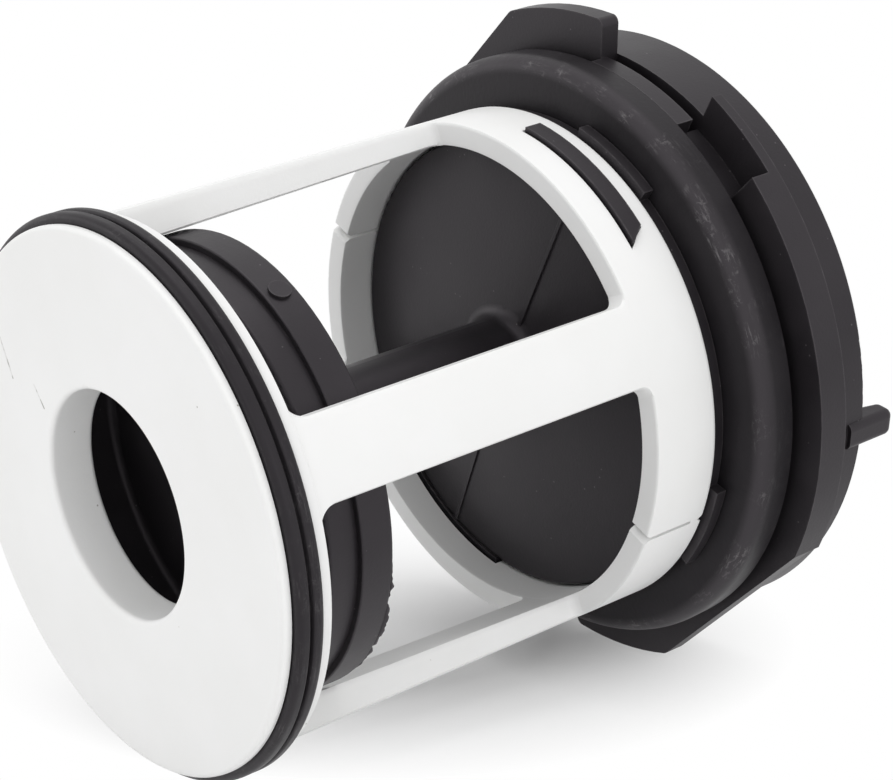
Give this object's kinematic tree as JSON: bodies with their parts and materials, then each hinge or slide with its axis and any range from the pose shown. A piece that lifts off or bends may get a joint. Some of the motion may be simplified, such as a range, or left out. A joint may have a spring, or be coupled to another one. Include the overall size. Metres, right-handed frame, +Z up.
{
  "type": "pump_filter",
  "caption": "Drain pump filter of a washing machine: a white strainer cage snapped onto a black bayonet plug, with rubber seals.",
  "frame": {"origin": "bottom centre of the bounding box, with the filter lying on its end seal and one bayonet lug", "axes": "X from the inlet port to the cap, seen from above; Z up; Y completes the frame. The filter's own axis rises by about seven degrees towards the cap."},
  "size_m": [0.0754, 0.0674, 0.0701],
  "materials": {
    "white_plastic": "satin",
    "black_plastic": "satin",
    "soft_rubber": "matte"
  },
  "bodies": {
    "root": {"cage": "white_plastic", "end_seal": "soft_rubber", "plug": "black_plastic", "cap_seal": "soft_rubber"}
  },
  "joints": []
}
